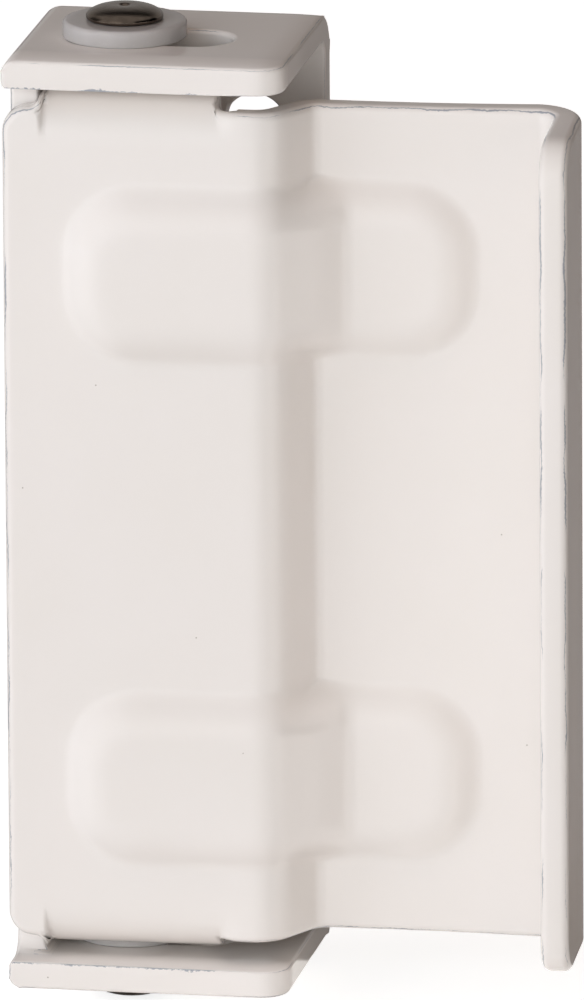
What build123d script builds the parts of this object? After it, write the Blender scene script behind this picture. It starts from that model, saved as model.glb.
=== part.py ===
from build123d import *
from math import radians, sqrt, tan
import os

# Window lock: a pressed steel frame bracket that carries a pressed flap on two sliding rivets.
# Millimetres. +Z is up, the frame is screwed on at Y = 0 and the flap faces -Y.
# The origin is the middle of the frame's rear face.

# Frame bracket
frame_height = 100.0
frame_width = 29.5
frame_depth = 30.0
frame_sheet = 3.0
frame_bend_inside = 2.0
frame_side_round = 1.5
frame_side_blend = 1.2
frame_ear_corner = 3.0
frame_wall_blend = 2.0

# Screw holes in the frame's back
screw_hole = 6.5
screw_hole_from_right = 7.6
screw_spacing_across = 11.0
screw_spacing_along = 75.2

# Pivot line, from the frame's left side and from its front
pivot_from_left = 10.75
pivot_from_front = 13.2
slide_travel = 7.65

# Flap, measured square to the frame
flap_sheet = 3.0
flap_width = 60.2
flap_setback = 1.9
flap_overhang = 0.5
flap_corner = 3.2
flap_end_round = 1.2
flap_wall_gap = 0.4
flap_rest_angle = 1.3

# Step that takes the flap's right part back
step_from_left = 25.8
step_depth = 6.3
step_angle = 60.0
step_bend_inside = 1.5
step_waist = 0.2

# Flange along the flap's right edge
flange_reach = 16.0
flange_bend_inside = 2.0
flange_corner = 4.0

# Beads that cross the step
bead_pitch = 54.2
bead_crown_from_left = 10.9
bead_crown_length = 33.7
bead_crown_height = 9.8
bead_rise = 2.0
bead_side_angle = 43.6
bead_rim_inside = 0.6
bead_corner_inside = 3.5
bead_foot_round = 2.5
bead_ramp_from_left = 26.2
bead_ramp_angle = 40.0
bead_ramp_bend_inside = 2.5

# Ears that turn the flap on its rivets
flap_ear_width = 18.4
flap_ear_bend_inside = 2.0
flap_ear_round = 7.3
flap_ear_rise = 1.4
flap_ear_notch = 1.3

# Nylon bushes in the frame's slots
bush_flange = 13.0
bush_flange_thickness = 1.8
bush_spigot = 7.3
bush_end_gap = 0.2
slot_gap = 0.1
bush_edge_bevel = 0.3

# Nylon washers between the ears
inner_washer = 12.0
inner_washer_thickness = 0.9
inner_washer_gap = 0.05

# Shouldered rivets and the steel washers under their tails
rivet_shank = 5.0
rivet_head = 8.1
rivet_head_height = 1.5
rivet_head_flat = 3.6
rivet_dimple = 1.5
rivet_dimple_depth = 0.35
dome_bulge = 0.3
rivet_tenon = 3.6
rivet_tail = 6.2
rivet_tail_height = 1.2
backing_washer = 10.0
backing_washer_thickness = 1.0
bore_gap = 0.05
flap_bore_gap = 0.08
shoulder_gap = 0.1

# Places worked out from the sizes above
frame_left = -frame_width / 2
frame_right = frame_width / 2
frame_front = -frame_depth
half_height = frame_height / 2
half_inside = half_height - frame_sheet
pivot_x = frame_left + pivot_from_left
pivot_y = frame_front + pivot_from_front
slot_width = bush_spigot + 2 * slot_gap
wall_setback = flap_setback + flap_sheet + flap_wall_gap
flap_left = frame_left - flap_overhang
flap_front = frame_front + flap_setback
flap_ear_outside = half_inside - inner_washer_thickness - 2 * inner_washer_gap
flap_ear_inside = flap_ear_outside - flap_sheet
flap_height = 2 * (flap_ear_outside - flap_ear_rise)
flange_tip = flap_front + step_depth + flap_sheet - flange_reach
shoulder_level = flap_ear_inside - shoulder_gap
washer_under = shoulder_level - backing_washer_thickness
ear_left = pivot_x - flap_ear_round
ear_middle = ear_left + flap_ear_width / 2
ear_foot = flap_ear_outside - flap_ear_bend_inside - flap_sheet
flap_back = flap_front + step_depth + 2 * flap_sheet
cut_margin = 8.0
UPWARD = (Align.CENTER, Align.CENTER, Align.MIN)
DOWNWARD = (Align.CENTER, Align.CENTER, Align.MAX)


def frame_back_edges(block, left, back, top):
    """The three edges round which a block's left, top and bottom walls leave its back."""
    return [
        edge
        for edge in block.edges()
        if abs(edge.center().Y - back) < 0.01
        and (abs(edge.center().X - left) < 0.01 or abs(abs(edge.center().Z) - top) < 0.01)
    ]


def side_edges(block, left, top):
    """The two edges along Y where a block's left wall meets its top and bottom."""
    return [
        edge
        for edge in block.edges().filter_by(Axis.Y)
        if abs(edge.center().X - left) < 0.01 and abs(abs(edge.center().Z) - top) < 0.01
    ]


def frame_shell():
    """Pressed tray: back, left wall and two ears, open to the front and the right."""
    outside = Pos(0, -frame_depth / 2, 0) * Box(frame_width, frame_depth, frame_height)
    outside = fillet(side_edges(outside, frame_left, half_height), frame_side_round)
    outside = fillet(
        frame_back_edges(outside, frame_left, 0, half_height),
        frame_bend_inside + frame_sheet,
    )
    room_width = frame_width - frame_sheet + cut_margin
    room_depth = frame_depth - frame_sheet + cut_margin
    room = Pos(
        frame_left + frame_sheet + room_width / 2,
        -frame_sheet - room_depth / 2,
        0,
    ) * Box(room_width, room_depth, 2 * half_inside)
    room = fillet(side_edges(room, frame_left + frame_sheet, half_inside), frame_side_blend)
    room = fillet(
        frame_back_edges(room, frame_left + frame_sheet, -frame_sheet, half_inside),
        frame_bend_inside,
    )
    return outside - room


def wall_cutter():
    """Takes the left wall's front edge back, with a blend into each ear."""
    cutter = Pos(frame_left, frame_front, 0) * Box(
        2 * (frame_sheet + frame_bend_inside), 2 * wall_setback, 2 * half_inside
    )
    rear = frame_front + wall_setback
    blends = [edge for edge in cutter.edges().filter_by(Axis.X) if abs(edge.center().Y - rear) < 0.01]
    return fillet(blends, frame_wall_blend)


def slot_cutter():
    """Slot through both ears for the sliding bushes."""
    centre = pivot_x + slide_travel / 2
    outline = Pos(centre, pivot_y) * SlotCenterToCenter(slide_travel, slot_width)
    return Pos(0, 0, -half_height - cut_margin) * extrude(outline, frame_height + 2 * cut_margin)


def screw_cutter():
    """Four clearance holes through the back."""
    centre = frame_right - screw_hole_from_right - screw_spacing_across / 2
    spots = GridLocations(screw_spacing_across, screw_spacing_along, 2, 2)
    plane = Plane(origin=(centre, cut_margin, 0), x_dir=(1, 0, 0), z_dir=(0, -1, 0))
    holes = [spot * Circle(screw_hole / 2) for spot in spots]
    return extrude(plane * Sketch(children=holes), frame_sheet + 2 * cut_margin)


def frame_bracket():
    """The whole bracket, with its ear corners and rims rounded."""
    bracket = frame_shell() - wall_cutter()
    corners = [
        edge
        for edge in bracket.edges().filter_by(Axis.Z)
        if abs(edge.center().Y - frame_front) < 0.01 and abs(edge.length - frame_sheet) < 0.01
    ]
    bracket = fillet(corners, frame_ear_corner)
    return bracket - slot_cutter() - screw_cutter()


def bend_start(turn, radius):
    """Distance from a corner to where a bend of this turn and radius starts."""
    return radius * tan(radians(turn) / 2)


def room_behind(corners, bends, around):
    """Plan face behind a formed line, closed round some points further back."""
    line = FilletPolyline(*corners, radius=bends)
    closing = Polyline(corners[-1], *around, corners[0])
    return make_face(Wire(line.edges() + closing.edges()))


def field_block(depth):
    """All that lies behind the sheet's front, or behind a face at a depth in the sheet."""
    left = flap_left - cut_margin - depth
    right = flap_left + flap_width + cut_margin + depth
    back = flap_back + cut_margin + depth
    tip = flange_tip - cut_margin - depth
    front = flap_front + depth
    outer_bend = step_bend_inside + flap_sheet
    step_start = flap_left + step_from_left + bend_start(step_angle, outer_bend - depth)
    step_end = step_start + step_depth / tan(radians(step_angle))
    flange = flap_left + flap_width - flap_sheet + depth
    corners = [
        (left, front),
        (step_start, front),
        (step_end, front + step_depth),
        (flange, front + step_depth),
        (flange, tip),
    ]
    bends = [outer_bend - depth, step_bend_inside + depth, flange_bend_inside + depth]
    plan = room_behind(corners, bends, [(right, tip), (right, back), (left, back)])
    height = flap_height + 2 * (cut_margin + depth)
    return Pos(0, 0, -height / 2) * extrude(plan, height)


def ramp_corners(depth):
    """Where a bead's crown, at a depth in the sheet, turns down the step and levels out."""
    level = flap_front - bead_rise + depth
    outer_bend = bead_ramp_bend_inside + flap_sheet
    start = flap_left + bead_ramp_from_left + bend_start(bead_ramp_angle, outer_bend - depth)
    end = start + step_depth / tan(radians(bead_ramp_angle))
    return [(start, level), (end, level + step_depth)]


def bead_core(depth, spread):
    """A bead in plan: its crown down the step and its slanting ends."""
    top, foot = ramp_corners(depth)
    left = flap_left + bead_crown_from_left - spread
    right = flap_left + bead_crown_from_left + bead_crown_length + spread
    slope = tan(radians(bead_side_angle))
    far_left = left - (flap_back - top[1]) / slope
    far_right = right + (flap_back - foot[1]) / slope
    bends = [bead_ramp_bend_inside + flap_sheet - depth, bead_ramp_bend_inside + depth]
    corners = [(left, top[1]), top, foot, (right, foot[1])]
    plan = room_behind(corners, bends, [(far_right, flap_back), (far_left, flap_back)])
    return Pos(0, 0, -flap_height / 2) * extrude(plan, flap_height)


def bead_side(depth, half):
    """All behind a bead's upper side, which falls back evenly from its rim."""
    top, foot = ramp_corners(depth)
    left = flap_left - flap_width
    right = flap_left + 2 * flap_width
    deep = flap_back + 2 * flap_height
    slope = tan(radians(bead_side_angle))
    bends = [bead_ramp_bend_inside + flap_sheet - depth, bead_ramp_bend_inside + depth]
    corners = [(left, top[1]), top, foot, (right, foot[1])]
    plan = room_behind(corners, bends, [(right, deep), (left, deep)])
    reach = bead_pitch / 2
    start = Pos(0, -slope * reach, half - reach) * plan
    return extrude(start, 2 * reach, dir=(0, slope, 1))


def bead_block(depth):
    """A bead as a block in the middle of the flap, with its rim rounded on the sheet's front."""
    rim_round = bead_rim_inside + flap_sheet - depth
    spread = bend_start(bead_side_angle, rim_round)
    half = bead_crown_height / 2 + spread
    side = bead_side(depth, half)
    block = bead_core(depth, spread) & side & mirror(side, Plane.XY)
    lines = block.edges().filter_by(GeomType.LINE)
    ridges = [line for line in lines if min(abs(part) for part in line % 0) > 0.1]
    block = fillet(ridges, bead_corner_inside + flap_sheet - depth)
    if depth > 0:
        return block
    rim = [
        edge
        for edge in block.edges()
        if abs(abs(edge.center().Z) - half) < 0.01 and edge.bounding_box().size.Z < 0.01
    ]
    return fillet(rim, rim_round)


def formed_block(depth):
    """The field's block with both beads, their feet blended into it on the sheet's front."""
    field = field_block(depth)
    upper = Pos(0, 0, bead_pitch / 2) * bead_block(depth)
    lower = mirror(upper, Plane.XY)
    formed = field + upper + lower
    if depth > 0:
        return formed
    feet = new_edges(field, upper, lower, combined=formed)
    return fillet(feet, bead_foot_round)


def flap_outline():
    """Front view of the sheet: rounded at the left, drawn in a little along the step."""
    edge = flap_height / 2
    waist_start = flap_left + step_from_left
    waist_end = flap_left + flap_width - flap_sheet - flange_bend_inside
    waist_middle = (waist_start + waist_end) / 2
    far = flap_left + flap_width + cut_margin
    left = flap_left
    top = Polyline((left, 0), (left, edge), (waist_start, edge))
    waist = ThreePointArc(
        (waist_start, edge), (waist_middle, edge - step_waist), (waist_end, edge)
    )
    end = Polyline((waist_end, edge), (far, edge), (far, 0), (left, 0))
    half = make_face(Wire(top.edges() + waist.edges() + end.edges()))
    corner = half.vertices().sort_by_distance((left, edge))[0]
    half = fillet(corner, flap_corner)
    return half + mirror(half, Plane.XZ)


def flap_ear_room():
    """The part of the field that gives its place to the two ears, in front view."""
    height = flap_height - 2 * ear_foot + 2 * cut_margin
    upper = Pos(ear_middle, ear_foot + height / 2) * Rectangle(flap_ear_width, height)
    return upper + mirror(upper, Plane.XZ)


def front_prism(front_view):
    """Extrudes a front view right through the flap."""
    back = flap_back + cut_margin
    plane = Plane(origin=(0, back, 0), x_dir=(1, 0, 0), z_dir=(0, -1, 0))
    return extrude(plane * front_view, back - flange_tip + cut_margin)


def side_prism():
    """The flap's side view, with its flange corners rounded."""
    depth = flap_back - flange_tip
    side = Pos(0, flange_tip + depth / 2, 0) * Box(3 * flap_width, depth, flap_height)
    tips = [edge for edge in side.edges().filter_by(Axis.X) if edge.center().Y < flap_front]
    return fillet(tips, flange_corner)


def end_cutter():
    """Rounds the front edge of the left end, so that it clears the wall as it swings."""
    height = flap_height + 2 * cut_margin
    corner = Pos(flap_left, flap_front, 0) * Box(2 * flap_end_round, 2 * flap_end_round, height)
    nose = Pos(flap_left + flap_end_round, flap_front + flap_end_round, 0) * Cylinder(
        flap_end_round, height + cut_margin
    )
    return corner - nose


def flap_field():
    """Formed sheet, cut to its outline, with its flange corners and left end rounded."""
    sheet = formed_block(0) - formed_block(flap_sheet)
    outline = front_prism(flap_outline() - flap_ear_room())
    return (sheet & outline & side_prism()) - end_cutter()


def ear_strip(width):
    """Strip of sheet bent back from the field at the upper ear, seen end on."""
    radius = flap_ear_bend_inside + flap_sheet
    back = pivot_y + flap_ear_round + cut_margin
    front = flap_front
    rear = flap_front + flap_sheet
    turn = sqrt(0.5)
    outer = ThreePointArc(
        (front, ear_foot),
        (front + radius * (1 - turn), ear_foot + radius * turn),
        (front + radius, flap_ear_outside),
    )
    top = Polyline(
        (front + radius, flap_ear_outside),
        (back, flap_ear_outside),
        (back, flap_ear_inside),
        (front + radius, flap_ear_inside),
    )
    inner = ThreePointArc(
        (front + radius, flap_ear_inside),
        (rear + flap_ear_bend_inside * (1 - turn), ear_foot + flap_ear_bend_inside * turn),
        (rear, ear_foot),
    )
    root = Line((rear, ear_foot), (front, ear_foot))
    profile = make_face(Wire(outer.edges() + top.edges() + inner.edges() + root.edges()))
    plane = Plane(origin=(ear_middle - width / 2, 0, 0), x_dir=(0, 1, 0), z_dir=(1, 0, 0))
    return extrude(plane * profile, width)


def ear_front_view(width):
    """Ear in front view, with a concave corner each side where it leaves the field's edge."""
    edge = flap_height / 2
    tall = Rectangle(flap_ear_width, cut_margin, align=(Align.CENTER, Align.MIN))
    field = Rectangle(width + 2 * cut_margin, cut_margin, align=(Align.CENTER, Align.MAX))
    joined = tall + field
    roots = [
        corner
        for corner in joined.vertices()
        if abs(corner.Y) < 0.01 and abs(corner.X) < flap_ear_width / 2 + 0.01
    ]
    above = Rectangle(width, cut_margin, align=(Align.CENTER, Align.MIN))
    below = Rectangle(flap_ear_width, cut_margin, align=(Align.CENTER, Align.MAX))
    return Pos(ear_middle, edge) * (fillet(roots, flap_ear_notch) & (above + below))


def flap_ear():
    """Upper ear: bent back from the field and rounded about the rivet."""
    radius = flap_ear_bend_inside + flap_sheet
    width = flap_ear_width + 2 * flap_ear_notch
    strip = ear_strip(width) & front_prism(ear_front_view(width))
    rounding = Pos(pivot_x, pivot_y) * Circle(flap_ear_round)
    base = Pos(ear_middle, flap_front + radius / 2) * Rectangle(flap_ear_width, radius)
    plan = make_hull(rounding.edges() + base.edges())
    shoulders = Pos(ear_middle, flap_front + flap_sheet / 2) * Rectangle(width, flap_sheet)
    bore = Pos(pivot_x, pivot_y) * Circle(rivet_shank / 2 + flap_bore_gap)
    return strip & extrude(plan + shoulders - bore, frame_height)


def lock_flap():
    """The whole flap, turned back a little about the rivets, as it hangs."""
    ear = flap_ear()
    flap = flap_field() + ear + mirror(ear, Plane.XY)
    return flap.rotate(Axis((pivot_x, pivot_y, 0), (0, 0, 1)), flap_rest_angle)


def bush():
    """Upper nylon bush: a flange on the ear and a round spigot in its slot."""
    flange = Cylinder(bush_flange / 2, bush_flange_thickness, align=UPWARD)
    rims = flange.edges().filter_by(GeomType.CIRCLE)
    flange = Pos(0, 0, half_height) * chamfer(rims, bush_edge_bevel)
    spigot_length = frame_sheet - bush_end_gap
    spigot = Pos(0, 0, half_height) * Cylinder(bush_spigot / 2, spigot_length, align=DOWNWARD)
    bore = Pos(0, 0, half_height) * Cylinder(rivet_shank / 2 + bore_gap, 4 * frame_sheet)
    return Pos(pivot_x, pivot_y, 0) * (flange + spigot - bore)


def inner_nylon_washer():
    """Upper washer that keeps the flap's ear off the frame's ear."""
    ring = Circle(inner_washer / 2) - Circle(rivet_shank / 2 + bore_gap)
    under = flap_ear_outside + inner_washer_gap
    return Pos(pivot_x, pivot_y, under) * extrude(ring, inner_washer_thickness)


def backing_steel_washer():
    """Upper washer under the rivet's tail, held against the rivet's shoulder."""
    ring = Circle(backing_washer / 2) - Circle(rivet_tenon / 2 + bore_gap)
    return Pos(pivot_x, pivot_y, washer_under) * extrude(ring, backing_washer_thickness)


def rivet():
    """Upper rivet: domed head with a dimple, shank, thin tenon and spread tail."""
    under_head = half_height + bush_flange_thickness
    top = under_head + rivet_head_height
    rim = rivet_head / 2
    flat = rivet_head_flat / 2
    shank = rivet_shank / 2
    tenon = rivet_tenon / 2
    tail = rivet_tail / 2
    tail_end = washer_under - rivet_tail_height
    dome_middle = ((rim + flat) / 2 + dome_bulge, (under_head + top) / 2 + dome_bulge)
    dome = ThreePointArc((rim, under_head), dome_middle, (flat, top))
    crown = Polyline((flat, top), (rivet_dimple / 2, top), (0, top - rivet_dimple_depth))
    centre = Line((0, top - rivet_dimple_depth), (0, tail_end))
    foot = Polyline((0, tail_end), (tenon, tail_end), (tail, washer_under))
    side = Polyline(
        (tail, washer_under),
        (tenon, washer_under),
        (tenon, shoulder_level),
        (shank, shoulder_level),
        (shank, under_head),
        (rim, under_head),
    )
    pieces = [dome, crown, centre, foot, side]
    wire = Wire([edge for piece in pieces for edge in piece.edges()])
    turned = revolve(Plane.XZ * make_face(wire), Axis.Z)
    return Pos(pivot_x, pivot_y, 0) * turned


def write_pair(name, upper):
    """Writes a piece of the upper pivot and its mirror image at the lower one."""
    export_step(upper, f"parts/top_{name}.step")
    export_step(mirror(upper, Plane.XY), f"parts/bottom_{name}.step")


os.makedirs("parts", exist_ok=True)
export_step(frame_bracket(), "parts/frame_bracket.step")
export_step(lock_flap(), "parts/lock_flap.step")
write_pair("rivet", rivet())
write_pair("bush", bush())
write_pair("inner_washer", inner_nylon_washer())
write_pair("backing_washer", backing_steel_washer())
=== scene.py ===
import bpy, bmesh, math
import numpy as np
from mathutils import Matrix, Vector
from mathutils.geometry import delaunay_2d_cdt
from mathutils.kdtree import KDTree


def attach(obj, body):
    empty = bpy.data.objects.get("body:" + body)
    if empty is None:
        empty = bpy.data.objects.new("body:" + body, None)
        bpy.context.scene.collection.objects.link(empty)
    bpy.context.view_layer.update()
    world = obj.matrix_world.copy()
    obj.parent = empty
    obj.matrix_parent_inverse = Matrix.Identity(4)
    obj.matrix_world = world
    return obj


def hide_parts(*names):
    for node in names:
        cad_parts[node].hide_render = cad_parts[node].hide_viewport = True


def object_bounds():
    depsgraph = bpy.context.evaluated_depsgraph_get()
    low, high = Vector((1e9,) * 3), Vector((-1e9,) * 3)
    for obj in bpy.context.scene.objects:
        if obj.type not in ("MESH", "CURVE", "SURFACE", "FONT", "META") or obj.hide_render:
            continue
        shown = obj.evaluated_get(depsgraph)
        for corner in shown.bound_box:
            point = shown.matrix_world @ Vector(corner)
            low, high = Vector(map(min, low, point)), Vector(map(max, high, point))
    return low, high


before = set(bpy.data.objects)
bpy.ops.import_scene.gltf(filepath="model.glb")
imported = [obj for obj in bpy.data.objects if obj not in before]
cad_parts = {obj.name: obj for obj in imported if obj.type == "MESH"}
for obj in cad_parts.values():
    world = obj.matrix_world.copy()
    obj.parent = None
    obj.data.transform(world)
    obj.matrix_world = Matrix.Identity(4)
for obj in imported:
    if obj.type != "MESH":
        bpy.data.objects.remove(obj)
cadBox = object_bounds()
mm = 0.001
pivotAt = (-4.0, -16.8)  # mm: the line through both rivets stands here, along z
print("frame loaded")


def linear(hexColour):  # sRGB hex to linear RGBA
    parts = np.array([int(hexColour[i:i + 2], 16) for i in (1, 3, 5)]) / 255
    parts = np.where(parts <= 0.04045, parts / 12.92, ((parts + 0.055) / 1.055) ** 2.4)
    return (*parts.tolist(), 1.0)


def addNode(tree, kind, inputs=(), **settings):  # one node with its settings, values and links
    made = tree.nodes.new(kind)
    for key, value in settings.items():
        setattr(made, key, value)
    for key, value in dict(inputs).items():
        if isinstance(value, bpy.types.NodeSocket):
            tree.links.new(value, made.inputs[key])
        else:
            made.inputs[key].default_value = value
    return made


def maths(tree, operation, *values):  # a sum on links or numbers
    return addNode(tree, "ShaderNodeMath", enumerate(values), operation=operation).outputs[0]


def mixColour(tree, share, first, second):  # from the first colour at 0 to the second at 1
    inputs = {"Factor": share, "A": first, "B": second}
    return addNode(tree, "ShaderNodeMix", inputs, data_type="RGBA").outputs["Result"]


def noise(tree, place, sizeMm, detail, roughness=0.5):
    scale = 1 / (sizeMm * mm)
    inputs = {"Vector": place, "Scale": scale, "Detail": detail, "Roughness": roughness}
    return addNode(tree, "ShaderNodeTexNoise", inputs).outputs["Fac"]


def mapped(tree, value, source=(0, 1), target=(0, 1)):  # one range of values carried to another
    inputs = {
        "Value": value, "From Min": source[0], "From Max": source[1],
        "To Min": target[0], "To Max": target[1],
    }
    return addNode(tree, "ShaderNodeMapRange", inputs).outputs["Result"]


def attribute(tree, name):
    made = addNode(tree, "ShaderNodeAttribute", attribute_name=name, attribute_type="GEOMETRY")
    return made.outputs["Fac"]


def ramp(tree, factor, stops):  # grey ramp through (place, value) stops
    made = addNode(tree, "ShaderNodeValToRGB", {"Fac": factor})
    elements = made.color_ramp.elements
    while len(elements) < len(stops):
        elements.new(0.5)
    for element, (place, value) in zip(elements, stops):
        element.position = place
        element.color = (value, value, value, 1)
    return made.outputs["Color"]


def newMaterial(name):
    material = bpy.data.materials.new(name)
    material.use_nodes = True
    material.node_tree.nodes.clear()
    return material, material.node_tree


powderLook = {
    "coat": "#ECE6E2", "warm": "#E9E3DD", "worn": "#9EA0A6", "speck": "#B5ADA3",
    "roughness": 0.08, "wornRoughness": 0.4, "ior": 1.5,
    "cloudMm": 14.0, "peelMm": 1.8, "peelDepthMm": 0.0012, "nibbleMm": 0.5, "patchMm": 6.0,
    # Grit: the size of a cell, the value above which a cell has a dot, the dot's reach in its cell
    "speckMm": 2.6, "speckAbove": 0.93, "speckReach": 0.035,
    # Where the bracket's sheet rolls over: axis, rim, reach inwards and depth in mm
    "rollovers": (("Y", -30.0, 5.0, 1.1), ("X", 14.75, -3.0, 0.4)),
    "jag": 0.35, "patchiness": 0.3, "wornStops": [(0.365, 1.0), (0.385, 0.0)],
}


def powderCoatWhite():
    # Polyester powder, sprayed and baked: glossy, faint orange peel, rubbed to grey at cut edges
    look = powderLook
    material, tree = newMaterial("powder_coat_white")
    place = addNode(tree, "ShaderNodeTexCoord").outputs["Object"]
    cloud = noise(tree, place, look["cloudMm"], 2.0)
    tint = mixColour(tree, cloud, linear(look["coat"]), linear(look["warm"]))
    # Grit caught in the coat: a few dots, each a small part of its cell
    scale = 1 / (look["speckMm"] * mm)
    cells = addNode(tree, "ShaderNodeTexVoronoi", {"Vector": place, "Scale": scale})
    few = addNode(tree, "ShaderNodeSeparateColor", {"Color": cells.outputs["Color"]})
    rare = maths(tree, "GREATER_THAN", few.outputs["Red"], look["speckAbove"])
    small = maths(tree, "LESS_THAN", cells.outputs["Distance"], look["speckReach"])
    dot = maths(tree, "MULTIPLY", rare, small)
    grit = mixColour(tree, dot, tint, linear(look["speck"]))
    # Rubbed through in a thin jagged line: the place across a rim, shifted by a fine noise, is
    # near its crest at 0, and the coarse noise leaves whole patches of the rim covered
    across = attribute(tree, "edgeAcross")
    nibble = noise(tree, place, look["nibbleMm"], 5.0, 0.7)
    patch = noise(tree, place, look["patchMm"], 2.0)
    shifted = maths(tree, "MULTIPLY_ADD", nibble, look["jag"], across)
    centred = maths(tree, "ADD", shifted, -look["jag"] / 2)
    away = maths(tree, "ABSOLUTE", centred)
    widened = maths(tree, "MULTIPLY_ADD", patch, -look["patchiness"], away)
    worn = ramp(tree, maths(tree, "ADD", widened, 0.5), look["wornStops"])
    colour = mixColour(tree, worn, grit, linear(look["worn"]))
    rough = mapped(tree, worn, target=(look["roughness"], look["wornRoughness"]))
    peel = noise(tree, place, look["peelMm"], 1.0)
    peelDepth = look["peelDepthMm"] * mm
    bump = addNode(tree, "ShaderNodeBump", {"Height": peel, "Distance": peelDepth, "Strength": 1.0})
    # The bracket's sheet rolls over towards its punched front and right rims: a parabola sunk
    # from each, as relief only
    split = addNode(tree, "ShaderNodeSeparateXYZ", {"Vector": place})
    sunk = []
    for axis, rim, reach, depth in look["rollovers"]:
        share = mapped(tree, split.outputs[axis], source=((rim + reach) * mm, rim * mm))
        sunk.append(maths(tree, "MULTIPLY", maths(tree, "POWER", share, 2.0), -depth * mm))
    relief = maths(tree, "MULTIPLY", maths(tree, "ADD", *sunk), attribute(tree, "punched"))
    peeled = bump.outputs["Normal"]
    rolled = addNode(tree, "ShaderNodeBump", {"Height": relief, "Distance": 1.0, "Normal": peeled})
    shader = addNode(tree, "ShaderNodeBsdfPrincipled", {
        "Base Color": colour, "Roughness": rough, "Normal": rolled.outputs["Normal"],
        "IOR": look["ior"],
    })
    addNode(tree, "ShaderNodeOutputMaterial", {"Surface": shader.outputs[0]})
    return material


nylonLook = {
    "body": "#C1BDBB", "deep": "#B6B2B0", "fleck": "#D4D1CE", "roughness": (0.04, 0.2),
    "cloudMm": 2.5, "speckMm": 0.2, "fleckStops": [(0.69, 0.0), (0.76, 1.0)], "reliefMm": 0.004,
    "ior": 1.53, "milk": 0.8, "milkRadius": (1.0, 1.0, 1.1), "milkMm": 1.5,
}


def nylonNatural():
    # Moulded polyamide, unpigmented: milky, light passes a little way in, fine scuffs
    look = nylonLook
    material, tree = newMaterial("nylon_natural_moulded")
    place = addNode(tree, "ShaderNodeTexCoord").outputs["Object"]
    cloud = noise(tree, place, look["cloudMm"], 3.0)
    speck = noise(tree, place, look["speckMm"], 4.0)
    body = mixColour(tree, cloud, linear(look["body"]), linear(look["deep"]))
    fleck = ramp(tree, speck, look["fleckStops"])
    colour = mixColour(tree, fleck, body, linear(look["fleck"]))
    rough = mapped(tree, cloud, target=look["roughness"])
    bump = addNode(tree, "ShaderNodeBump", {"Height": speck, "Distance": look["reliefMm"] * mm})
    shader = addNode(tree, "ShaderNodeBsdfPrincipled", {
        "Base Color": colour, "Roughness": rough, "Normal": bump.outputs["Normal"],
        "IOR": look["ior"], "Subsurface Weight": look["milk"],
        "Subsurface Radius": look["milkRadius"], "Subsurface Scale": look["milkMm"] * mm,
    })
    addNode(tree, "ShaderNodeOutputMaterial", {"Surface": shader.outputs[0]})
    return material


nickelLook = {
    "metal": "#84786E", "shade": "#5C524A", "roughness": (0.11, 0.28), "cloudMm": 0.9,
    "ringMm": 0.3, "ringShare": 0.35, "grainMm": 0.22, "reliefMm": 0.004,
}


def steelDarkNickel():
    # Cold-headed steel, dark nickel bath: brownish mirror with faint turning rings
    look = nickelLook
    material, tree = newMaterial("steel_dark_nickel")
    place = addNode(tree, "ShaderNodeTexCoord").outputs["Object"]
    cloud = noise(tree, place, look["cloudMm"], 4.0)
    colour = mixColour(tree, cloud, linear(look["metal"]), linear(look["shade"]))
    rough = mapped(tree, cloud, target=look["roughness"])
    # The rings are a sine of the distance from the rivet's axis
    axis = (pivotAt[0] * mm, pivotAt[1] * mm, 0)
    fromAxis = addNode(tree, "ShaderNodeVectorMath", {0: place, 1: axis}, operation="SUBTRACT")
    level = addNode(
        tree, "ShaderNodeVectorMath", {0: fromAxis.outputs[0], 1: (1, 1, 0)}, operation="MULTIPLY")
    outwards = addNode(tree, "ShaderNodeVectorMath", {0: level.outputs[0]}, operation="LENGTH")
    perMetre = 2 * math.pi / (look["ringMm"] * mm)
    ring = maths(tree, "SINE", maths(tree, "MULTIPLY", outwards.outputs["Value"], perMetre))
    grain = noise(tree, place, look["grainMm"], 3.0)
    relief = maths(tree, "MULTIPLY_ADD", ring, look["ringShare"], grain)
    bump = addNode(tree, "ShaderNodeBump", {"Height": relief, "Distance": look["reliefMm"] * mm})
    shader = addNode(tree, "ShaderNodeBsdfPrincipled", {
        "Base Color": colour, "Metallic": 1.0, "Roughness": rough,
        "Normal": bump.outputs["Normal"],
    })
    addNode(tree, "ShaderNodeOutputMaterial", {"Surface": shader.outputs[0]})
    return material


zincLook = {"metal": "#B9BBBD", "shade": "#9A9DA1", "roughness": (0.24, 0.42), "spangleMm": 1.2}


def steelZincPlated():  # stamped washer steel, bright zinc: grey, cloudy, a little matt
    look = zincLook
    material, tree = newMaterial("steel_zinc_plated")
    place = addNode(tree, "ShaderNodeTexCoord").outputs["Object"]
    spangle = noise(tree, place, look["spangleMm"], 3.0)
    colour = mixColour(tree, spangle, linear(look["metal"]), linear(look["shade"]))
    rough = mapped(tree, spangle, target=look["roughness"])
    shader = addNode(tree, "ShaderNodeBsdfPrincipled", {
        "Base Color": colour, "Metallic": 1.0, "Roughness": rough,
    })
    addNode(tree, "ShaderNodeOutputMaterial", {"Surface": shader.outputs[0]})
    return material


powder, nylon = powderCoatWhite(), nylonNatural()
nickel, zinc = steelDarkNickel(), steelZincPlated()
print("materials made")


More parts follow.
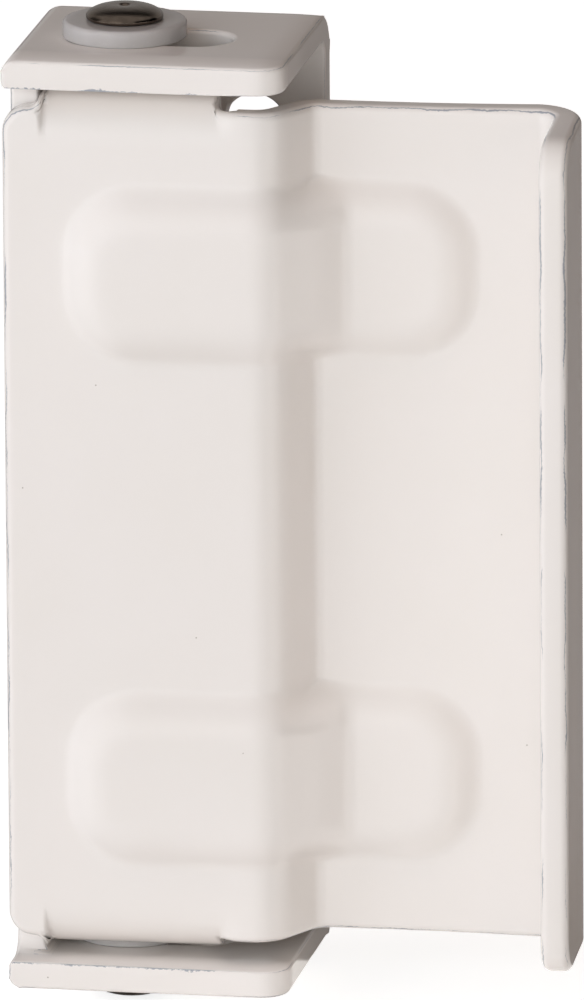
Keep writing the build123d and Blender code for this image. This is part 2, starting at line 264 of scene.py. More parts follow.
def putMesh(name, points, faces, material, across=None):  # arrays into a smooth mesh at the origin
    mesh = bpy.data.meshes.new(name)
    mesh.from_pydata(points.tolist(), [], faces if isinstance(faces, list) else faces.tolist())
    mesh.polygons.foreach_set("use_smooth", np.ones(len(mesh.polygons), bool))
    if across is not None:
        layer = mesh.attributes.new("edgeAcross", "FLOAT", "POINT")
        layer.data.foreach_set("value", across.astype(np.float32))
    mesh.materials.append(material)
    mesh.update()
    made = bpy.data.objects.new(name, mesh)
    bpy.context.scene.collection.objects.link(made)
    return made


def arcPoints(centre, radius, first, last, count):  # points on a circle between two degrees
    turn = np.radians(np.linspace(first, last, count))
    return np.stack([centre[0] + radius * np.cos(turn), centre[1] + radius * np.sin(turn)], 1)


def evenLoop(loop, step):  # closed line walked again in equal steps
    closed = np.vstack([loop, loop[:1]])
    along = np.concatenate([[0], np.cumsum(np.hypot(*np.diff(closed, axis=0).T))])
    places = np.linspace(0, along[-1], int(round(along[-1] / step)) + 1)[:-1]
    return np.stack([np.interp(places, along, closed[:, i]) for i in (0, 1)], 1)


def inwardNormals(loop):  # unit normals to the left of a closed line's direction
    run = np.roll(loop, -1, 0) - np.roll(loop, 1, 0)
    run /= np.hypot(run[:, 0], run[:, 1])[:, None]
    return np.stack([-run[:, 1], run[:, 0]], 1)


def insideLoop(points, loop):  # crossing count of a ray along +u, for all points at once
    a, b = loop, np.roll(loop, -1, 0)
    pu, pv = points[:, :1], points[:, 1:]
    cross = (a[:, 1] > pv) != (b[:, 1] > pv)
    rise = np.where(b[:, 1] == a[:, 1], 1e-9, b[:, 1] - a[:, 1])
    at = a[:, 0] + (pv - a[:, 1]) * (b[:, 0] - a[:, 0]) / rise
    return (cross & (pu < at)).sum(1) % 2 == 1


def insideSheet(points, loops):  # within the first loop and outside the others
    keep = insideLoop(points, loops[0])
    for hole in loops[1:]:
        keep &= ~insideLoop(points, hole)
    return keep


sheetMesh = {
    "clearOfRim": 0.55, "rimChunk": 200, "epsilon": 1e-7,
    # Waves that sway the crest of a cut edge: size, run in mm for a radian, and shift
    "sway": ((0.05, 1.7, 0), (0.04, 0.83, 1), (0.03, 4.1, 0)),
}


def fillBlank(inner, uLines, vLines, step):  # triangulated grid within loops: points, triangles
    grid = np.stack(np.meshgrid(uLines, vLines), -1).reshape(-1, 2)
    grid = grid[insideSheet(grid, inner)]
    rim, chunk = np.vstack(inner), sheetMesh["rimChunk"]
    for start in range(0, len(rim), chunk):
        gap = grid[:, None] - rim[None, start:start + chunk]
        near = np.hypot(gap[..., 0], gap[..., 1]).min(1)
        grid = grid[near > sheetMesh["clearOfRim"] * step]
    flat = np.vstack([rim, grid])
    counts = [len(loop) for loop in inner]
    starts = np.concatenate([[0], np.cumsum(counts)])
    ties = [np.stack([np.arange(n) + s, (np.arange(n) + 1) % n + s], 1)
            for n, s in zip(counts, starts)]
    spots = [Vector(point) for point in flat.tolist()]
    filled = delaunay_2d_cdt(spots, np.vstack(ties).tolist(), [], 0, sheetMesh["epsilon"])
    order = np.array([ids[0] for ids in filled[3]])
    tris = order[np.array([face for face in filled[2]])]
    tris = tris[insideSheet(flat[tris].mean(1), inner)]
    a, b, c = flat[tris[:, 0]], flat[tris[:, 1]], flat[tris[:, 2]]
    ab, ac = b - a, c - a
    turned = ab[:, 0] * ac[:, 1] - ab[:, 1] * ac[:, 0] < 0
    tris[turned] = tris[turned][:, ::-1]
    return flat, tris


def pressedSheet(name, outer, holes, uLines, vLines, place, sheet, material):
    # A flat blank is meshed in its own (u, v): loops of points run inwards from each cut edge,
    # round an edge of radius r (inset = r - r cos a, height = t/2 - r + r sin a), and a
    # triangulated grid fills the rest. edgeAcross is 0 on the crest of that round, -0.5 on the
    # flat faces and 0.5 down the cut; the crest sways. place(u, v, height) then carries every
    # point to its spot in the formed sheet.
    half, edge, step = sheet["thickness"] / 2, sheet["edgeRound"], sheet["edgeStep"]
    loops = [evenLoop(outer, step)] + [evenLoop(hole, step) for hole in holes]
    inner = [loop + inwardNormals(loop) * edge for loop in loops]
    flat, tris = fillBlank(inner, uLines, vLines, step)
    blank = [flat, flat]
    height = [np.full(len(flat), half), np.full(len(flat), -half)]
    across = [np.full(len(flat), -0.5)] * 2
    faces = tris[:, ::-1].tolist() + (tris + len(flat)).tolist()
    turns = np.radians(np.linspace(90, 0, sheet["edgeSegments"] + 1)[1:])
    rows = [(edge * (1 - math.cos(t)), half - edge + edge * math.sin(t), 1 - 2 * t / math.pi)
            for t in turns]
    rows += [(0.0, 0.0, 1.0)] + [(inset, -high, share) for inset, high, share in rows[::-1]]
    base, start = 2 * len(flat), 0
    for loop in loops:
        count, normals = len(loop), inwardNormals(loop)
        along = np.arange(count) * step
        sway = sum(size * np.sin(along / run + shift) for size, run, shift in sheetMesh["sway"])
        rings = [np.arange(count) + start]
        for inset, high, share in rows:
            blank.append(loop + normals * inset)
            height.append(np.full(count, high))
            across.append(np.clip(share - 0.5 - sway, -0.5, 0.5))
            rings.append(np.arange(count) + base)
            base += count
        rings.append(np.arange(count) + start + len(flat))
        for upper, lower in zip(rings[:-1], rings[1:]):
            faces += np.stack([upper, np.roll(upper, -1), np.roll(lower, -1), lower], 1).tolist()
        start += count
    blank, height, across = np.vstack(blank), np.concatenate(height), np.concatenate(across)
    points = place(blank[:, 0], blank[:, 1], height)
    return putMesh(name, points * mm, faces, material, across)


def turnedPiece(name, profile, centre, material, sides=96):
    # The profile (radius, height) is carried round a vertical axis. It is a closed line, walked
    # with the solid on its left.
    turn = np.linspace(0, 2 * np.pi, sides, endpoint=False)
    n = len(profile)
    r, z = profile[:, 0][:, None], profile[:, 1][:, None]
    rings = [centre[0] + r * np.cos(turn), centre[1] + r * np.sin(turn), z + 0 * turn]
    points = np.stack(rings, -1).reshape(-1, 3)
    i, j = np.meshgrid(np.arange(n), np.arange(sides), indexing="ij")
    a, b = i * sides + j, i * sides + (j + 1) % sides
    c, d = (i + 1) % n * sides + (j + 1) % sides, (i + 1) % n * sides + j
    faces = np.stack([a, b, c, d], -1).reshape(-1, 4)
    made = putMesh(name, points * mm, faces, material)
    # Points on the axis fall together and become one
    mesh = bmesh.new()
    mesh.from_mesh(made.data)
    bmesh.ops.remove_doubles(mesh, verts=mesh.verts, dist=1e-7)
    bmesh.ops.recalc_face_normals(mesh, faces=mesh.faces)
    mesh.to_mesh(made.data)
    mesh.free()
    return made


view = {  # angles in radians
    "yaw": 0.178037, "tilt": 0.250886, "roll": 0.005936, "distanceMm": 2166.92,
    "aimMm": (15.767, -30.0, 4.153), "lensMm": 750.8, "clipEnd": 50,
}


def placeCamera():
    yaw, tilt, roll = view["yaw"], view["tilt"], view["roll"]
    level = math.cos(tilt)
    ahead = Vector((-math.sin(yaw) * level, math.cos(yaw) * level, -math.sin(tilt)))
    right = Vector((math.cos(yaw), math.sin(yaw), 0))
    down = ahead.cross(right)
    across = right * math.cos(roll) + down * math.sin(roll)
    below = down * math.cos(roll) - right * math.sin(roll)
    lens = bpy.data.cameras.new("camera")
    lens.lens = view["lensMm"]
    lens.clip_end = view["clipEnd"]
    camera = bpy.data.objects.new("camera", lens)
    turn = Matrix((across, -below, -ahead)).transposed().to_4x4()
    stand = Vector(view["aimMm"]) * mm - ahead * view["distanceMm"] * mm
    camera.matrix_world = Matrix.Translation(stand) @ turn
    bpy.context.scene.collection.objects.link(camera)
    bpy.context.scene.camera = camera


placeCamera()
print("camera placed")

flap = {
    "thickness": 3.0, "edgeRound": 0.85, "edgeSegments": 8, "edgeStep": 0.42,
    "left": -15.25, "front": -28.1, "width": 60.2, "halfHeight": 44.6, "cornerRound": 2.6,
    "stepStart": 25.8, "stepDepth": 6.3, "stepAngle": 60.0, "stepBend": 3.0, "waist": 0.2,
    "flangeReach": 16.0, "flangeBend": 3.5, "flangeCorner": 4.0,
    "flangeSag": 1.0, "sagPower": 1.3, "sagLimit": 1.2, "restAngle": 1.3,
    "earLeft": 3.95, "earRight": 22.35, "earFoot": 41.0, "earBend": 3.5, "earRound": 7.3,
    "earNotch": 1.3, "earBlendLeft": 0.2, "earBlendRight": 2.2, "earFade": 0.4, "bore": 2.58,
    # The grid's steps, its reach past an ear's foot, the room beside the cut at the left ear, and
    # how far apart, and how far from that cut, the points lie from which a normal is taken
    "gridMm": 0.6, "bendGridMm": 0.42, "gridReach": 22, "cutRoom": 0.35,
    "normalStep": 0.02, "besideCut": 0.3,
}
bead = {
    "pitch": 54.2, "left": 10.9, "length": 33.7, "height": 9.8, "corner": 3.0, "slope": 5.0,
    "rise": 2.0, "rampStart": 26.2, "rampAngle": 40.0, "rampBend": 4.0,
}
flapHalf = flap["thickness"] / 2


def flapRuns():
    # Lengths and curvatures of the blank's middle line, from the left end to the flange's tip
    angle = math.radians(flap["stepAngle"])
    r, f = flap["stepBend"], flap["flangeBend"]
    slant = (flap["stepDepth"] - 2 * r * (1 - math.cos(angle))) / math.sin(angle)
    stepLength = 2 * r * math.sin(angle) + slant * math.cos(angle)
    right = flap["width"] - flapHalf - f - flap["stepStart"] - stepLength
    flange = flap["flangeReach"] - flapHalf - f
    lengths = [flap["stepStart"], angle * r, slant, angle * r, right, math.pi / 2 * f, flange]
    return np.array(lengths), np.array([0, 1 / r, 0, -1 / r, 0, -1 / f, 0])


def planLine(u):
    # Plan place at a developed length u: each run is straight or an arc of its curvature
    lengths, bends = flapRuns()
    starts = np.concatenate([[0], np.cumsum(lengths)[:-1]])
    heads = np.concatenate([[0], np.cumsum(lengths * bends)[:-1]])
    x0, y0 = np.zeros(len(lengths)), np.zeros(len(lengths))
    for i in range(1, len(lengths)):
        k, h, s = bends[i - 1], heads[i - 1], lengths[i - 1]
        x0[i] = x0[i - 1] + ((math.sin(h + k * s) - math.sin(h)) / k if k else s * math.cos(h))
        y0[i] = y0[i - 1] + ((math.cos(h) - math.cos(h + k * s)) / k if k else s * math.sin(h))
    run = np.clip(np.searchsorted(starts, u, side="right") - 1, 0, len(lengths) - 1)
    k, h, s = bends[run], heads[run], u - starts[run]
    safe = np.where(k == 0, 1, k)
    x = x0[run] + np.where(k == 0, s * np.cos(h), (np.sin(h + k * s) - np.sin(h)) / safe)
    y = y0[run] + np.where(k == 0, s * np.sin(h), (np.cos(h) - np.cos(h + k * s)) / safe)
    return x, y


def twoArcStep(x, start, drop, angle, radius):
    # Level, arc, slope, arc, level: how far a line has dropped at x
    a = math.radians(angle)
    reach, fall = radius * math.sin(a), radius * (1 - math.cos(a))
    slope = (drop - 2 * fall) / math.tan(a)
    s = x - start
    first = radius - np.sqrt(np.clip(radius ** 2 - np.clip(s, 0, reach) ** 2, 0, None))
    middle = np.clip(s - reach, 0, slope) * math.tan(a)
    last = np.clip(s - reach - slope, 0, reach)
    second = fall - (radius - np.sqrt(np.clip(radius ** 2 - (reach - last) ** 2, 0, None)))
    return first + middle + second


def beadShare(x, z):
    # 1 on the crown, 0 in the field: two equal arcs across the slope, by distance from the
    # crown's outline
    hl, hh, c, w = bead["length"] / 2, bead["height"] / 2, bead["corner"], bead["slope"]
    du = np.abs(x - bead["left"] - hl) - (hl - c)
    dv = np.abs(np.abs(z) - bead["pitch"] / 2) - (hh - c)
    d = np.clip(np.hypot(np.clip(du, 0, None), np.clip(dv, 0, None)) - c, 0, w) / w
    return np.where(d < 0.5, 1 - 2 * d ** 2, 2 * (1 - d) ** 2)


def flapMiddle(u, v):  # middle of the sheet: plan line, beads pushed forward, ears bent back
    x, y = planLine(u)
    level = -bead["rise"] + twoArcStep(
        x, bead["rampStart"], flap["stepDepth"], bead["rampAngle"], bead["rampBend"])
    y = y + (level - y) * beadShare(x, v)
    r, foot = flap["earBend"], flap["earFoot"]
    # Beside the ears the field stays flat: the right side blends smoothly, the left one is cut
    # free beside the bracket's wall
    over = np.clip(np.abs(v) - foot, 0, None)
    notchEnd = flap["halfHeight"] + flap["earNotch"] - foot
    fade = np.clip(1 - (over - notchEnd) / flap["earFade"], 0, 1)
    fromLeft = np.clip(1 + (flap["earLeft"] - u) / flap["earBlendLeft"], 0, 1) * fade
    side = np.maximum(fromLeft, np.clip((u - flap["earRight"]) / flap["earBlendRight"], 0, 1))
    share = 1 - side ** 2 * (3 - 2 * side)
    turn = np.clip(over / r, 0, math.pi / 2)
    back = r * (1 - np.cos(turn)) + np.clip(over - r * math.pi / 2, 0, None)
    high = foot + r * np.sin(turn)
    z = np.where(over > 0, np.sign(v) * (high * share + np.abs(v) * (1 - share)), v)
    # The flange hangs a little towards its tip, more from its bend on
    ends = np.cumsum(flapRuns()[0])
    hang = np.clip((u - ends[-3]) / (ends[-1] - ends[-3]), 0, flap["sagLimit"])
    z = z - flap["flangeSag"] * hang ** flap["sagPower"]
    return np.stack([x, y + back * share, z], -1)


def flapPlace(u, v, height):
    # Middle point plus the sheet's own normal times the height, then turned about the pivot.
    # The cut beside the left ear has no slope of its own: each point there takes the normal of
    # the side that it belongs to.
    step, aside = flap["normalStep"], flap["besideCut"]
    fromCut = u - flap["earLeft"] - flap["earBlendLeft"] / 2
    at = u + np.where(np.abs(fromCut) < aside, np.sign(fromCut) * aside, 0)
    along = flapMiddle(at + step, v) - flapMiddle(at - step, v)
    up = flapMiddle(at, v + step) - flapMiddle(at, v - step)
    normal = np.cross(along, up)
    normal /= np.linalg.norm(normal, axis=1)[:, None]
    corner = np.array([flap["left"], flap["front"] + flapHalf, 0])
    points = flapMiddle(u, v) + normal * height[:, None] + corner
    a = math.radians(flap["restAngle"])
    px, py = pivotAt
    dx, dy = points[:, 0] - px, points[:, 1] - py
    x = px + dx * math.cos(a) - dy * math.sin(a)
    y = py + dx * math.sin(a) + dy * math.cos(a)
    return np.stack([x, y, points[:, 2]], 1)


def flapBlank():  # outline of the developed blank, walked so that the sheet lies on its left
    lengths, _ = flapRuns()
    h, c, n = flap["halfHeight"], flap["cornerRound"], flap["earNotch"]
    end, tip = lengths.sum(), flap["flangeCorner"]
    left, right, r = flap["earLeft"], flap["earRight"], flap["earRound"]
    bendEnd = flap["earFoot"] + math.pi / 2 * flap["earBend"]
    # The hub of the ear's round is the pivot, at its developed distance past the bend
    pastBend = bendEnd + pivotAt[1] - flap["front"] - (flap["earBend"] + flapHalf)
    hub = np.array([pivotAt[0] - flap["left"], pastBend])
    base = np.array([right, bendEnd])
    reach = math.hypot(*(base - hub))
    lean = math.atan2(base[1] - hub[1], base[0] - hub[0]) + math.acos(r / reach)
    waistFrom, waistTo = flap["stepStart"], end - lengths[-1] - lengths[-2]
    span = np.linspace(0, 1, 40)[1:-1]
    drawnIn = h - 4 * flap["waist"] * span * (1 - span)
    waist = np.stack([waistFrom + (waistTo - waistFrom) * span, drawnIn], 1)
    upper = np.vstack([
        arcPoints((end - tip, h - tip), tip, 0, 90, 16),
        [[waistTo, h]], waist[::-1], [[waistFrom, h]],
        arcPoints((right + n, h + n), n, 270, 180, 8),
        [base],
        arcPoints(hub, r, math.degrees(lean), 180, 40),
        arcPoints((left - n, h + n), n, 0, -90, 8),
        arcPoints((c, h - c), c, 90, 180, 14),
    ])
    lower = upper[::-1] * (1, -1)
    return np.vstack([upper, lower]), hub


def makeFlap():
    outline, hub = flapBlank()
    lengths, bends = flapRuns()
    # Lines across the blank at equal steps along each run, finer where it bends
    ends = np.concatenate([[0], np.cumsum(lengths)])
    uLines = []
    for first, last, bend in zip(ends[:-1], ends[1:], bends):
        step = flap["bendGridMm"] if bend else flap["gridMm"]
        uLines.append(np.linspace(first, last, max(2, math.ceil((last - first) / step) + 1))[:-1])
    uLines = np.concatenate(uLines + [ends[-1:]])
    cutLines = flap["earLeft"] + np.array([0, flap["earBlendLeft"]])
    beside = np.abs(uLines - cutLines.mean()) > flap["cutRoom"]
    uLines = np.concatenate([uLines[beside], cutLines])
    top = round((flap["earFoot"] + flap["gridReach"]) / flap["gridMm"])
    vLines = np.arange(-top, top + 1) * flap["gridMm"]
    bores = [arcPoints((hub[0], s * hub[1]), flap["bore"], 360, 0, 49)[:-1] for s in (1, -1)]
    made = pressedSheet(
        "flap_pressed_sheet", outline, bores, uLines, vLines, flapPlace, flap, powder)
    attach(made, "flap")
    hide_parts("lock_flap")


makeFlap()
print("flap made")

bracket = {
    "sheet": 3.0, "halfHeight": 50.0, "left": -14.75, "front": -30.0, "right": 14.75,
    "outerRound": 0.55, "innerRound": 0.35, "roundSteps": 6,
    "droop": 0.14, "droopReach": 3.6, "droopRows": 8, "droopDepth": 1.5,
    "slotFront": -21.5, "slotBack": -12.0, "slotRight": 9.0,
    # Degrees below which faces are one and above which an edge is a rim
    "oneFace": 0.4, "sharp": 50,
    # Step along a rim, slack beside a face, width of the right cut, a height below the ears,
    # slack on the sheet, and the share of a round's radius up to which a point lies on it
    "rimStep": 0.15, "slack": 0.05, "cutWidth": 2, "belowEars": 45, "sheetSlack": 1.1,
    "onRound": 1.3,
    # How far a face has to look forwards or to the right to be a cut
    "looksForward": 0.1, "looksRight": 0.5,
}


def isCut(face):  # a face of the sheet's front or right cut, corners between them and in them too
    s = bracket
    centre, outwards = face.calc_center_median(), face.normal
    atFront = centre.y < s["slotFront"] * mm and outwards.y < -s["looksForward"]
    atRight = centre.x > (s["right"] - s["cutWidth"]) * mm and outwards.x > s["looksRight"]
    return atFront or atRight


def rimPoints(rims, radius=0.0):
    # Points in short steps along sharp rims, with the round's radius and the way across the rim
    s = bracket
    rows = []
    for rim in rims:
        first, last = (np.array(vertex.co) for vertex in rim.verts)
        # Of the two faces at a hole or slot, the sheet's own looks along y in the back plate and
        # along z in the ears
        inBack = min(first[1], last[1]) > -s["sheet"] * s["sheetSlack"] * mm
        axis = 1 if inBack and abs(first[2]) < s["belowEars"] * mm else 2
        faces = sorted(rim.link_faces, key=lambda face: (isCut(face), -abs(face.normal[axis])))
        sheet, cut = faces
        steps = int(np.linalg.norm(last - first) / (s["rimStep"] * mm))
        share = np.linspace(0, 1, 2 + steps)[:, None]
        wayAcross = sheet.normal - cut.normal
        rows += [(point, radius, wayAcross) for point in first + (last - first) * share]
    return rows


def nearestRim(rows):
    tree = KDTree(len(rows))
    for index, row in enumerate(rows):
        tree.insert(row[0], index)
    tree.balance()
    return tree


def sharpRims(mesh):  # outer and inner rims, and those of the ears' outsides that droop
    s = bracket

    def onEar(point):
        return abs(point.z) > (s["halfHeight"] - s["slack"]) * mm

    def outside(point):
        atBack, atLeft = point.y > -s["slack"] * mm, point.x < (s["left"] + s["slack"]) * mm
        return onEar(point) or atBack or atLeft

    def inSlot(point):
        alongY = s["slotFront"] * mm < point.y < s["slotBack"] * mm
        return alongY and s["left"] * mm / 2 < point.x < s["slotRight"] * mm

    rims = [e for e in mesh.edges
            if len(e.link_faces) == 2 and e.calc_face_angle(0) > math.radians(s["sharp"])]
    outer = [e for e in rims if all(outside(v.co) for v in e.verts)]
    taken = set(outer)
    inner = [e for e in rims if e not in taken]
    drooping = [e for e in outer if all(onEar(v.co) and not inSlot(v.co) for v in e.verts)]
    return outer, inner, drooping


def acrossRim(vertex, crests, rows):
    # 0 on the crest of a rim's round and -0.5 or 0.5 at its ends. For a point on a quarter round
    # of radius r, at a distance d from the edge that the round took away, the turn from the crest
    # is the arc cosine of (3 - (d/r)^2) / (2 root 2).
    spot, index, away = crests.find(vertex.co)
    _, radius, wayAcross = rows[index]
    share = away / (radius * mm)
    if share > bracket["onRound"]:
        return 0.5 if any(isCut(face) for face in vertex.link_faces) else -0.5
    cosine = (3 - share * share) / (2 * math.sqrt(2))
    turn = math.degrees(math.acos(min(1.0, max(-1.0, cosine))))
    return math.copysign(min(0.5, turn / 90), -(vertex.co - spot).dot(wayAcross))


def makeBracket():
    # The CAD pressing with its cut rims rounded: wide on the punched outside, tight on the inside
    s = bracket
    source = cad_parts["frame_bracket"]
    mesh = bmesh.new()
    mesh.from_mesh(source.data)
    bmesh.ops.remove_doubles(mesh, verts=mesh.verts, dist=2e-6)
    oneFace = math.radians(s["oneFace"])
    bmesh.ops.dissolve_limit(mesh, angle_limit=oneFace, verts=mesh.verts, edges=mesh.edges)
    outer, inner, drooping = sharpRims(mesh)
    rows = rimPoints(outer, s["outerRound"]) + rimPoints(inner, s["innerRound"])
    crests, droops = nearestRim(rows), nearestRim(rimPoints(drooping))
    for edges, radius in ((outer, s["outerRound"]), (inner, s["innerRound"])):
        edges = [e for e in edges if e.is_valid]
        bmesh.ops.bevel(
            mesh, geom=edges, offset=radius * mm, offset_type="OFFSET", segments=s["roundSteps"],
            profile=0.5, affect="EDGES", clamp_overlap=False)
    # Rows of cuts beside the front and right rims let the ears' outsides droop towards them, as a
    # punched sheet does
    for cut in np.linspace(s["outerRound"], s["droopReach"], s["droopRows"]):
        fromFront = ((0, (s["front"] + cut) * mm, 0), (0, 1, 0))
        fromRight = (((s["right"] - cut) * mm, 0, 0), (1, 0, 0))
        for place, along in (fromFront, fromRight):
            everything = mesh.verts[:] + mesh.edges[:] + mesh.faces[:]
            bmesh.ops.bisect_plane(
                mesh, geom=everything, dist=1e-6, plane_co=place, plane_no=along)
    across = []
    for vertex in mesh.verts:
        across.append(acrossRim(vertex, crests, rows))
        away = droops.find(vertex.co)[2] / (s["droopReach"] * mm)
        if away < 1 and abs(vertex.co.z) > (s["halfHeight"] - s["droopDepth"]) * mm:
            vertex.co.z -= math.copysign(s["droop"] * mm * (1 - away) ** 2, vertex.co.z)
    mesh.normal_update()
    # Each vertex takes the area-weighted normal of its faces, so that the flat faces stay flat up
    # to their rounds
    normals = []
    for vertex in mesh.verts:
        weighted = (face.normal * face.calc_area() for face in vertex.link_faces)
        normals.append(sum(weighted, Vector()).normalized())
    made = bpy.data.meshes.new("bracket_pressed_sheet")
    mesh.to_mesh(made)
    mesh.free()
    for name, values in (("edgeAcross", across), ("punched", np.ones(len(across)))):
        layer = made.attributes.new(name, "FLOAT", "POINT")
        layer.data.foreach_set("value", np.array(values, np.float32))
    made.materials.clear()
    made.materials.append(powder)
    made.polygons.foreach_set("use_smooth", np.ones(len(made.polygons), bool))
    made.normals_split_custom_set_from_vertices(normals)
    piece = bpy.data.objects.new("bracket_pressed_sheet", made)
    bpy.context.scene.collection.objects.link(piece)
    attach(piece, "frame")
    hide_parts("frame_bracket")


makeBracket()
print("bracket made")

rivetSize = {
    "under": 51.8, "top": 53.3, "head": 4.05, "rim": 0.3, "flat": 1.3, "ease": 1.1,
    "dimple": 0.75, "dimpleDepth": 0.4, "dimpleEdge": 0.2, "shank": 2.5, "tenon": 1.8,
    "tail": 3.1, "tailEnd": 40.7, "washer": 41.9, "shoulder": 42.9, "sharp": 38,
}
bushSize = {
    "under": 50.01, "top": 51.8, "flange": 6.5, "spigot": 3.65, "foot": 47.2, "bore": 2.55,
    "round": 0.45, "corner": 0.12, "bevel": 0.2, "mouth": 0.2,
}
innerSize = {"low": 46.05, "high": 46.95, "outer": 6.0, "bore": 2.55, "round": 0.15}
backSize = {"low": 41.9, "high": 42.9, "outer": 5.0, "bore": 1.85, "round": 0.12}


def ringProfile(s):  # rectangle with rounded corners, for a washer
    r = s["round"]
    return np.vstack([
        arcPoints((s["outer"] - r, s["low"] + r), r, -90, 0, 6),
        arcPoints((s["outer"] - r, s["high"] - r), r, 0, 90, 6),
        arcPoints((s["bore"] + r, s["high"] - r), r, 90, 180, 6),
        arcPoints((s["bore"] + r, s["low"] + r), r, 180, 270, 6),
    ])


def bushProfile():
    s = bushSize
    r, c, m = s["round"], s["corner"], s["mouth"]
    return np.vstack([
        [[s["bore"], s["foot"]], [s["spigot"] - s["bevel"], s["foot"]],
         [s["spigot"], s["foot"] + s["bevel"]], [s["spigot"], s["under"]]],
        arcPoints((s["flange"] - c, s["under"] + c), c, -90, 0, 4),
        arcPoints((s["flange"] - r, s["top"] - r), r, 0, 90, 7),
        arcPoints((s["bore"] + m, s["top"] - m), m, 90, 180, 5),
    ])


def rivetProfile():
    # Rim: a short round up to the widest place; dome: a quarter turn, eased; dimple: a cosine
    # bowl; tail: a quarter turn
    s = rivetSize
    turn = np.radians(np.linspace(0, 90, 20))
    base, high = s["under"] + s["rim"], s["top"] - s["under"] - s["rim"]
    domeOut = s["flat"] + (s["head"] - s["flat"]) * np.cos(turn) ** s["ease"]
    dome = np.stack([domeOut, base + high * np.sin(turn)], 1)
    lip = arcPoints((s["head"] - s["rim"], base), s["rim"], -90, 0, 8)[:-1]
    span = np.linspace(1, 0, 10)
    bowlHigh = s["top"] - s["dimpleDepth"] * (0.5 + 0.5 * np.cos(np.pi * span))
    bowl = np.stack([s["dimple"] * span, bowlHigh], 1)
    tailOut = s["tenon"] + (s["tail"] - s["tenon"]) * np.sin(turn)
    tailHigh = s["washer"] - (s["washer"] - s["tailEnd"]) * np.cos(turn)
    return np.vstack([
        [[0.0, s["tailEnd"]]], np.stack([tailOut, tailHigh], 1),
        [[s["tail"], s["washer"]], [s["tenon"], s["washer"]], [s["tenon"], s["shoulder"]],
         [s["shank"], s["shoulder"]], [s["shank"], s["under"]]],
        lip, dome, [[s["dimple"] + s["dimpleEdge"], s["top"]]], bowl,
    ])


def makePivots():
    kinds = {
        "rivet": (rivetProfile(), nickel, "rivet_steel"),
        "bush": (bushProfile(), nylon, "nylon"),
        "inner_washer": (ringProfile(innerSize), nylon, "nylon"),
        "backing_washer": (ringProfile(backSize), zinc, "washer_steel"),
    }
    for kind, (profile, material, slotName) in kinds.items():
        for end, sign in (("top", 1), ("bottom", -1)):
            line = profile * (1, sign)
            made = turnedPiece(f"{end}_{kind}_turned", line, pivotAt, material)
            made.data.set_sharp_from_angle(angle=math.radians(rivetSize["sharp"]))
            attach(made, "pivots")
            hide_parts(f"{end}_{kind}")


makePivots()
print("pivots made")

studio = {
    "floorWhite": "#F1F0EE", "floorGlow": 0.8, "floorReach": 6.0, "floorGap": 0.0002,
    # tableGlow: the floor's glow to diffuse rays, painted light that reaches the part from below
    "tableGlow": 0.14, "worldGlow": (0.02, 0.02, 0.02),
    # Azimuth left of the front and height in degrees, width and height in metres, and the
    # brightness of red, green and blue
    "lamps": {
        "front": (8, 6, 1.5, 1.1, (2.32, 2.46, 2.54)),
        "middle": (8, 4, 0.5, 0.4, (1.68, 1.78, 1.84)),
        "half_left": (28, 8, 0.8, 0.9, (2.75, 2.82, 2.98)),
        "left": (62, 8, 1.0, 0.9, (2.16, 2.18, 2.28)),
        "high_left": (62, 40, 1.0, 0.9, (1.85, 1.93, 2.1)),
        "half_right": (-20, 8, 0.8, 0.9, (1.0, 1.05, 1.05)),
        "right": (-42, 8, 1.0, 0.9, (1.1, 0.95, 0.86)),
        "overhead": (10, 80, 1.0, 1.0, (1.4, 1.0, 0.78)),
    },
    "lampDistance": 1.7, "lampAim": (0.015, -0.02, 0),
    # What gloss sees round the part, as (azimuth, brightness) from the back over the right, the
    # front and the left to the back again
    "surround": [
        (-180, 0.38), (-125, 0.38), (-122, 0.0), (-43, 0.0), (-40, 0.46), (-2, 0.46), (1, 0.77),
        (34, 0.77), (37, 0.55), (70, 0.55), (73, 0.09), (110, 0.09), (114, 0.38), (180, 0.38),
    ],
    # What gloss sees in the floor, as (azimuth, brightness): a painted reflection, a fan of light
    # that no lamp casts and only reflections show
    "table": [
        (-180, 0.0), (-86, 0.0), (-83, 1.0), (-44, 1.0), (-41, 0.25), (-2, 0.25), (1, 0.0),
        (34, 0.0), (37, 0.45), (70, 0.45), (73, 0.0), (180, 0.0),
    ],
    "surroundTint": (1.0, 0.965, 0.925), "overheadBack": 0.03, "overheadFront": 0.5,
    # How high a direction looks where the surround gives way to what is overhead, and how far
    # back it looks from overheadBack to overheadFront
    "overheadRise": (0.45, 0.75), "overheadDepth": (0.55, 0.25),
}


def areaLight(name, azimuth, height, wide, tall, brightness):  # a softbox aimed at the part
    lamp = bpy.data.lights.new(name, "AREA")
    lamp.shape, lamp.size, lamp.size_y = "RECTANGLE", wide, tall
    lamp.color = [part / max(brightness) for part in brightness]
    lamp.energy = max(brightness) * math.pi * wide * tall
    made = bpy.data.objects.new(name, lamp)
    a, h = math.radians(azimuth), math.radians(height)
    toLamp = Vector((-math.sin(a) * math.cos(h), -math.cos(a) * math.cos(h), math.sin(h)))
    made.location = toLamp * studio["lampDistance"] + Vector(studio["lampAim"])
    made.rotation_euler = toLamp.to_track_quat("Z", "Y").to_euler()
    made.visible_glossy = False
    bpy.context.scene.collection.objects.link(made)


def glowByAzimuth(tree, direction, stops):
    # Brightness by azimuth: the angle of (-x, -y), walked through the stops; then z and y
    split = addNode(tree, "ShaderNodeSeparateXYZ", {"Vector": direction})
    left = maths(tree, "MULTIPLY", split.outputs["X"], -1.0)
    ahead = maths(tree, "MULTIPLY", split.outputs["Y"], -1.0)
    share = mapped(tree, maths(tree, "ARCTAN2", left, ahead), source=(-math.pi, math.pi))
    most = max(value for _, value in stops)
    grey = ramp(tree, share, [((place + 180) / 360, value / most) for place, value in stops])
    return maths(tree, "MULTIPLY", grey, most), split.outputs["Z"], split.outputs["Y"]


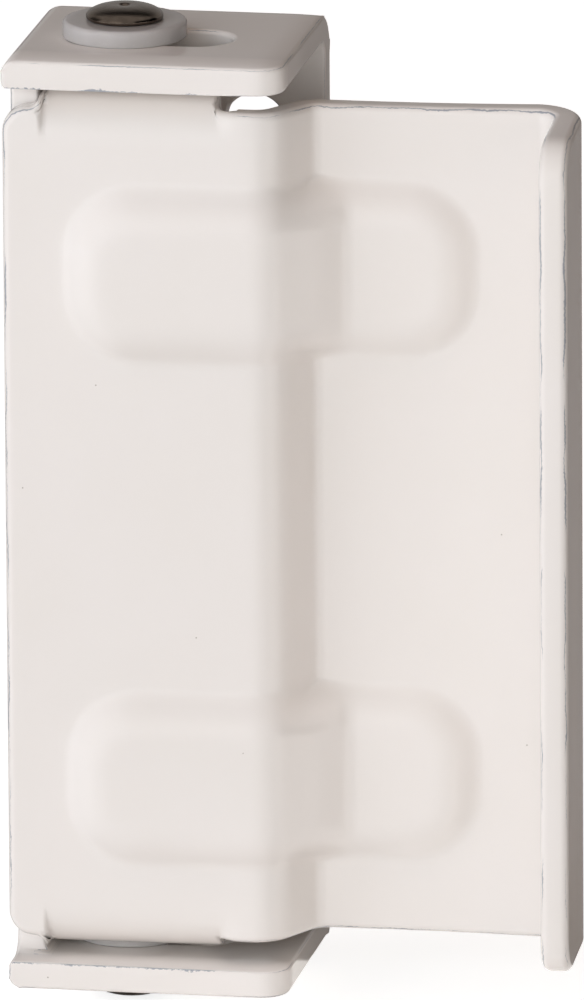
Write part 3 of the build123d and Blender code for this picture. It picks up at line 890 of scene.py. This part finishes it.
def seenPlainly(tree, path):  # 1 for the camera, also through glass
    camera, through = path.outputs["Is Camera Ray"], path.outputs["Is Transmission Ray"]
    return maths(tree, "MAXIMUM", camera, through)


def makeWorld():  # white to the camera, dim to matt surfaces, the surround to glossy ones
    world = bpy.data.worlds.new("studio")
    bpy.context.scene.world = world
    world.use_nodes = True
    tree = world.node_tree
    tree.nodes.clear()
    path = addNode(tree, "ShaderNodeLightPath")
    direction = addNode(tree, "ShaderNodeTexCoord").outputs["Generated"]
    level, height, depth = glowByAzimuth(tree, direction, studio["surround"])
    rising = mapped(tree, height, source=studio["overheadRise"])
    ends = (studio["overheadBack"], studio["overheadFront"])
    above = mapped(tree, depth, source=studio["overheadDepth"], target=ends)
    gloss = addNode(
        tree, "ShaderNodeMix", {"Factor": rising, "A": level, "B": above}, data_type="FLOAT")
    backgrounds = [
        addNode(tree, "ShaderNodeBackground", {"Color": colour, "Strength": strength}).outputs[0]
        for colour, strength in (
            ((*studio["worldGlow"], 1), 1.0), ((1, 1, 1, 1), 1.0),
            ((*studio["surroundTint"], 1), gloss.outputs["Result"]))
    ]
    soft, white, shiny = backgrounds
    both = addNode(tree, "ShaderNodeMixShader", {0: seenPlainly(tree, path), 1: soft, 2: white})
    both = addNode(tree, "ShaderNodeMixShader", {
        0: path.outputs["Is Glossy Ray"], 1: both.outputs[0], 2: shiny,
    })
    addNode(tree, "ShaderNodeOutputWorld", {"Surface": both.outputs[0]})


def makeFloor():
    material, tree = newMaterial("studio_floor_white_painted_glow")
    path = addNode(tree, "ShaderNodeLightPath")
    glossy, diffuse = path.outputs["Is Glossy Ray"], path.outputs["Is Diffuse Ray"]
    plain = maths(tree, "MULTIPLY", seenPlainly(tree, path), studio["floorGlow"])
    place = addNode(tree, "ShaderNodeTexCoord").outputs["Object"]
    # To glossy rays the floor shows a painted reflection: a fan of light by azimuth, from the table
    # stops
    level, _, _ = glowByAzimuth(tree, place, studio["table"])
    glow = maths(tree, "MULTIPLY_ADD", glossy, level, plain)
    # To diffuse rays the floor glows faintly: painted light on the part from below, though the
    # floor is no lamp
    glow = maths(tree, "MULTIPLY_ADD", diffuse, studio["tableGlow"], glow)
    seen = mixColour(tree, glossy, (1, 1, 1, 1), (*studio["surroundTint"], 1))
    shader = addNode(tree, "ShaderNodeBsdfPrincipled", {
        "Base Color": linear(studio["floorWhite"]), "Roughness": 0.9, "Specular IOR Level": 0.0,
        "Emission Color": seen, "Emission Strength": glow,
    })
    addNode(tree, "ShaderNodeOutputMaterial", {"Surface": shader.outputs[0]})
    low, reach = cadBox[0][2] - studio["floorGap"], studio["floorReach"]
    signs = ((-1, -1), (1, -1), (1, 1), (-1, 1))
    corners = [(reach * x, reach * y, low) for x, y in signs]
    floor = putMesh("floor", np.array(corners), [[0, 1, 2, 3]], material)


for name, sizes in studio["lamps"].items():
    areaLight(name + "_softbox", *sizes)
makeWorld()
makeFloor()
bpy.context.scene.view_settings.view_transform = "Standard"
print("studio made")
